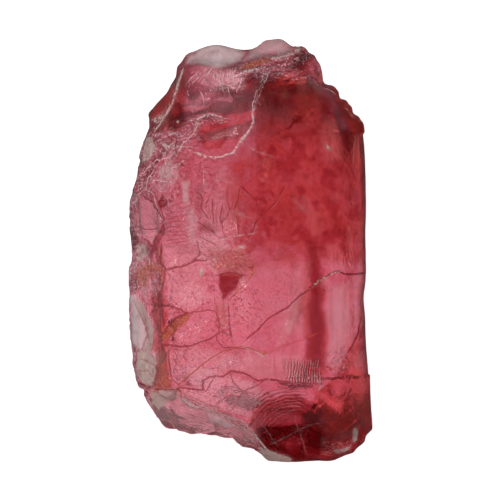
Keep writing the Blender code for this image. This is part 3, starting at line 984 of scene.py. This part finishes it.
# The deep red zones, partly painted shade, with their own clouds.
embers = rise(grain_of["Broad"], 0.46, 0.53)
dusky_clouds = rise(cloud, 0.54, 0.62)
dusky_chips = rise(mark("chip_tone"), 0.6, 1.0)
dark_clouds = rise(cloud, 0.46, 0.38)
deep_colour = tint(embers, DEEP_RED, EMBER_RED, share=0.6)
deep_colour = tint(dusky_clouds, deep_colour, DUSKY_ROSE, share=0.45)
deep_colour = tint(dusky_chips, deep_colour, DUSKY_ROSE, share=0.3)
deep_colour = tint(dark_clouds, deep_colour, MAROON, share=0.35)
deep_cover = scaled(calc("SUBTRACT", cloud, 0.5), 1.5, mark("deep_red_and_shade"))
colour = tint(rise(deep_cover, 0.15, 0.75), colour, deep_colour)
colour = tint(times(dark_grains, granular), colour, MAROON)

# Painted glow and glints, clearer red, darker places that are partly painted shade, stains, and clouded
# places that are partly painted sheen and highlights.
glow = tint(mark("deep_red_and_shade"), BRIGHT_ROSE, WARM_GLOW, share=0.9)
colour = tint(times(mark("painted_glow"), rise(grain_of["Upright"], 0.2, 0.5)), colour, glow)
colour = tint(mark("ember"), colour, CLEAR_RED)
colour = tint(times(mark("maroon_and_shade"), rise(cloud, 0.1, 0.5)), colour, MAROON)
rusty = most(mark("rust"), times(line(mark("seam_gap"), half_width=1.3), share=0.6))
colour = tint(times(rusty, rise(fine, 0.3, 0.55)), colour, RUST_ORANGE, share=0.9)
colour = tint(most(mark("frost_and_highlight"), times(mark("milk_and_sheen"), share=0.8)), colour, CLOUDY_AND_SHEEN_WHITE)

# Pits, splinters, hairlines, veins, cracks and ripples.
pit_share = scaled(mark("pitted"), 0.8, scaled(rough_mark, 0.2, 0.05))
pits = times(rise(grain_of["Speck"], 0.42, 0.36), pit_share)
splinters = times(grain_of["Scrapes"], rise(fine, 0.5, 0.4), share=0.5)
ragged_vein = scaled(fine, 1.6, calc("SUBTRACT", mark("vein_gap"), 0.8))
vein_line = times(line(ragged_vein, half_width=0.9), share=0.85)
ragged_crack = scaled(fine, 3.4, calc("SUBTRACT", mark("crack_gap"), 1.6))
crack_line = line(ragged_crack, half_width=1.2)
ripple_line = times(rise(grain_of["Hackle"], -0.4, -0.9), mark("ripple"), rise(fine, 0.35, 0.5))
fine_dark = most(times(grain_of["Hair"], share=0.5), splinters, pits)
dark_line = most(fine_dark, vein_line, crack_line, ripple_line)
colour = tint(dark_line, colour, CRACK_RED, share=0.9)
polish = scaled(cloud, 0.2, 0.03)
dull = scaled(most(mark("frost_and_highlight"), mark("milk_and_sheen")), 0.25, polish)

# The fine relief, and the crystal's depth.
crumbs = scaled(rough_mark, ROUGH_CRUMBS, EVEN_CRUMBS)
crumbs = scaled(mark("broken"), BROKEN_CRUMBS, crumbs)
swell = scaled(rough_mark, ROUGH_SWELL, EVEN_SWELL)
height = scaled(fine, crumbs, times(cloud, swell))
wave = times(grain_of["Hackle"], most(mark("hackle"), mark("ripple")))
height = scaled(wave, HACKLE_WAVE, height)
height = scaled(dark_line, -LINE_DEPTH, height)
relief_bump = put(tree, "Bump", {"Strength": 1.0, "Distance": MM, "Height": height}).outputs[0]
feed(surface, {"Base Color": colour, "Roughness": dull, "Normal": relief_bump})
feed(surface, {"IOR": GARNET_IOR, "Transmission Weight": CLEARNESS})
depth = put(tree, "VolumeAbsorption", {"Color": DEPTH_COLOUR, "Density": DEPTH_DENSITY}).outputs[0]
feed(tree.nodes["Material Output"], {"Volume": depth})
crystal_mesh.materials.clear()
crystal_mesh.materials.append(crystal)
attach(stone, "root")
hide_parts("garnet")

# The stone's weathered skin: a film, thinner than a hair, of pale frosting, crushed ridges, open
# scratches and iron stain, with painted sheen on its milky faces and painted highlights on its ridges and
# some frost. It lies on the crystal's surface, which shows between its patches.
# The film's colours. The milky white also paints sheen, and the crushed white paints highlights.
MILK_AND_SHEEN_WHITE = (1.0, 0.84, 0.86, 1)
PALE_CRUST = (0.76, 0.60, 0.54, 1)
DARK_CRUST = (0.42, 0.24, 0.22, 1)
CRUSHED_AND_HIGHLIGHT = (0.98, 0.79, 0.75, 1)
IRON_STAIN = (0.44, 0.085, 0.045, 1)
OCHRE = (0.80, 0.25, 0.09, 1)
# The film's thickness in millimetres, its reach beside a line in pixels, the faintest mark that has
# a film, and the faces of its smallest patch.
SKIN_THICKNESS = 0.006
LINE_REACH = 4.0
FAINTEST_MARK = 0.02
SMALLEST_PATCH = 60
# The height of its grains and of the crushed lines, in millimetres.
FILM_GRAIN = 0.035
CRUSHED_HEIGHT = 0.012


def patch_sizes(faces):
    """How many faces each face's connected patch has."""
    label = np.arange(faces.max() + 1)
    settled = False
    while not settled:
        merged = label.copy()
        for i in range(3):
            np.minimum.at(merged, faces[:, i], label[faces].min(axis=1))
        merged = merged[merged]
        settled = (merged == label).all()
        label = merged
    patch = label[faces[:, 0]]
    return np.bincount(patch)[patch]


strongest_mark = np.maximum.reduce([milk_and_sheen, frost_and_highlight, rust, hackle, rough * 0.6, broken])
near_line = np.minimum(np.abs(ridge_gap), np.abs(scratch_gap)) < LINE_REACH
has_skin = (strongest_mark > FAINTEST_MARK) | near_line
kept = corners[has_skin[corners].any(axis=1)]
kept = kept[patch_sizes(kept) >= SMALLEST_PATCH]
used, kept_corners = np.unique(kept, return_inverse=True)
skin_places = (places + point_normals(places) * SKIN_THICKNESS)[used]
skin_places = np.clip(skin_places, lowest, highest) * MM
skin_mesh = bpy.data.meshes.new("weathering_and_sheen_skin")
skin_mesh.from_pydata(skin_places.tolist(), [], kept_corners.reshape(-1, 3).tolist())
skin_mesh.shade_smooth()
carry_marks(skin_mesh, used)
skin = place("weathering_and_sheen_skin", skin_mesh)

film, surface, grain_of, mark = grained_finish("weathering_and_sheen_film", hair_level=0.56, hair_width=0.01)
tree = film.node_tree
cloud, fine, speck = (grain_of[name] for name in ("Cloud", "Fine", "Speck"))
fine_shift = calc("SUBTRACT", fine, 0.5)

# Frosting, with some painted highlights; milky faces, partly painted sheen; and stains.
frost_and_highlight_cover = scaled(cloud, 0.8, calc("SUBTRACT", mark("frost_and_highlight"), 0.4))
frost_and_highlight_cover = scaled(fine_shift, 1.5, frost_and_highlight_cover)
frosting_and_highlight = times(rise(frost_and_highlight_cover, 0.35, 0.75), share=0.74)
facet_sheen = times(rise(mark("facet_sheen_tone"), 0.6, 1.0), mark("rough"), share=0.15)
milk_and_sheen_cover = times(most(mark("milk_and_sheen"), facet_sheen), rise(cloud, 0.0, 0.6), share=0.7)
stain_cover = scaled(fine_shift, 1.4, mark("rust"))
ragged_seam = scaled(fine_shift, 3.0, mark("seam_gap"))
stained_seam = times(line(ragged_seam, half_width=1.1), rise(cloud, 0.3, 0.5), share=0.8)
stain = times(most(rise(stain_cover, 0.5, 1.2), stained_seam), share=0.7)

# Crushed ridges with painted highlights on them, open scratches and specks. Scratches are faint in the
# darkest places.
darkness = most(times(mark("deep_red_and_shade"), share=0.6), times(mark("maroon_and_shade"), share=0.75))
faint = calc("SUBTRACT", 1.0, darkness)
hackle_line = times(rise(grain_of["Hackle"], 0.7, 1.0), mark("hackle"), rise(fine, 0.35, 0.55))
ragged_ridge = scaled(fine_shift, 3.0, mark("ridge_gap"))
ridge_width = scaled(cloud, 2.6, 0.1)
ridge_line = times(line(ragged_ridge, ridge_width), rise(speck, 0.3, 0.55), share=0.85)
ragged_scratch = scaled(fine_shift, 2.0, mark("scratch_gap"))
scratch_line = line(ragged_scratch, half_width=0.6)
scratch_line = times(scratch_line, rise(fine, 0.35, 0.55), faint, share=0.85)
pale_hair = times(grain_of["Hair"], rise(fine, 0.45, 0.6), share=0.5)
scrapes = times(grain_of["Scrapes"], rise(fine, 0.44, 0.6), share=0.62)
specks = times(rise(speck, 0.64, 0.7), scaled(mark("broken"), 0.85, 0.15))
pale_lines = most(ridge_line, scratch_line, hackle_line, pale_hair, scrapes, specks)
crushed_and_highlight = times(pale_lines, share=0.75)

# The film's colour, cover and relief. Cracks and veins cut through it.
crust = tint(rise(cloud, 0.48, 0.68), PALE_CRUST, DARK_CRUST)
film_colour = tint(rise(frosting_and_highlight, 0.0, 0.3), MILK_AND_SHEEN_WHITE, crust)
iron = tint(rise(speck, 0.46, 0.62), IRON_STAIN, OCHRE)
film_colour = tint(rise(stain, 0.05, 0.3), film_colour, iron)
film_colour = tint(crushed_and_highlight, film_colour, CRUSHED_AND_HIGHLIGHT)
open_cracks = most(line(mark("crack_gap"), half_width=1.1), line(mark("vein_gap"), half_width=0.8))
uncracked = calc("SUBTRACT", 1.0, times(open_cracks, share=0.8))
body = times(most(frosting_and_highlight, milk_and_sheen_cover, stain), uncracked)
chalky = scaled(cloud, 0.4, 0.38)
crust_height = scaled(fine, FILM_GRAIN, times(crushed_and_highlight, CRUSHED_HEIGHT))
film_bump = put(tree, "Bump", {"Strength": 1.0, "Distance": MM, "Height": crust_height}).outputs[0]
feed(surface, {"Base Color": film_colour, "Alpha": most(body, crushed_and_highlight), "Roughness": chalky})
feed(surface, {"Normal": film_bump})
skin_mesh.materials.append(film)
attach(skin, "root")

# The surface that the stone lies on: a plain white panel, lit from within, as for gem photographs.
# To what the stone's faces mirror, the panel and the room are nearly black, as black cards around a gem
# would make them.
PANEL_WIDTH = 1.2
PANEL_GAP = 0.02 * MM
PANEL_GLOW = 0.88
MIRRORED_GLOW = 0.04
PANEL_WHITE = 0.6
MIRRORED_WHITE = 0.03


def when_mirrored(tree, seen, mirrored):
    """The first value for what is seen directly or through the stone, and the second for what its
    faces mirror."""
    ray = put(tree, "LightPath", {}).outputs["Is Reflection Ray"]
    return put(tree, "MapRange", {"Value": ray, "To Min": seen, "To Max": mirrored}).outputs[0]


bpy.ops.mesh.primitive_plane_add(size=PANEL_WIDTH, location=(0, 0, -PANEL_GAP))
floor = bpy.context.object
floor.name = "floor"
floor_finish = bpy.data.materials.new("white_panel")
floor_finish.use_nodes = True
tree = floor_finish.node_tree
panel = tree.nodes["Principled BSDF"]
feed(panel, {"Roughness": 0.7, "Emission Color": (1, 1, 1, 1)})
feed(panel, {"Emission Strength": when_mirrored(tree, PANEL_GLOW, MIRRORED_GLOW)})
feed(panel, {"Base Color": when_mirrored(tree, PANEL_WHITE, MIRRORED_WHITE)})
floor.data.materials.append(floor_finish)

# Soft studio light: large lamps from the left, the top and the lower right, a small one from the
# upper left for glints, and a pale room that is a little brighter low down.
LAMP_DISTANCE = 0.45
HORIZON_LIGHT = 0.95
UPPER_LIGHT = 0.65
UPPER_FROM = 0.8
MIRRORED_LIGHT = 0.05


def soft_lamp(name, azimuth, elevation, size, watts, mirrored=False):
    """A square lamp that faces the stone. azimuth is anticlockwise from +X, in degrees."""
    lamp = bpy.data.lights.new(name, "AREA")
    lamp.size = size
    lamp.energy = watts
    holder = place(name, lamp)
    turn, climb = math.radians(azimuth), math.radians(elevation)
    holder.location = (
        LAMP_DISTANCE * math.cos(climb) * math.cos(turn),
        LAMP_DISTANCE * math.cos(climb) * math.sin(turn),
        LAMP_DISTANCE * math.sin(climb),
    )
    holder.rotation_euler = holder.location.to_track_quat("Z", "Y").to_euler()
    holder.visible_glossy = mirrored
    holder.visible_transmission = mirrored


soft_lamp("window", azimuth=208, elevation=42, size=0.6, watts=0.6)
soft_lamp("low_fill", azimuth=310, elevation=50, size=0.5, watts=0.4)
soft_lamp("spark", azimuth=150, elevation=50, size=0.06, watts=0.16, mirrored=True)
soft_lamp("fill", azimuth=110, elevation=50, size=0.5, watts=1.3)
room = bpy.data.worlds.new("room")
bpy.context.scene.world = room
room.use_nodes = True
sky = room.node_tree
direction = put(sky, "TexCoord", {}).outputs["Generated"]
upward = put(sky, "SeparateXYZ", {0: direction}).outputs["Z"]
ends = {"Value": upward, "From Max": UPPER_FROM, "To Min": HORIZON_LIGHT, "To Max": UPPER_LIGHT}
walls = put(sky, "MapRange", ends).outputs[0]
feed(sky.nodes["Background"], {"Strength": when_mirrored(sky, walls, MIRRORED_LIGHT)})
bpy.context.scene.view_settings.view_transform = "Standard"

# The camera looks straight down from well above, as the photo does.
LENS_MM = 200.0
GIRDLE_HEIGHT = 4.5 * MM
camera = place("camera", bpy.data.cameras.new("camera"))
camera.data.lens = LENS_MM
camera.data.clip_start = 0.005
lens_distance = PHOTO_PX * PIXEL * MM * LENS_MM / camera.data.sensor_width
camera.location = (0, (MIDDLE_PX[1] - PHOTO_PX / 2) * PIXEL * MM, GIRDLE_HEIGHT + lens_distance)
bpy.context.scene.camera = camera
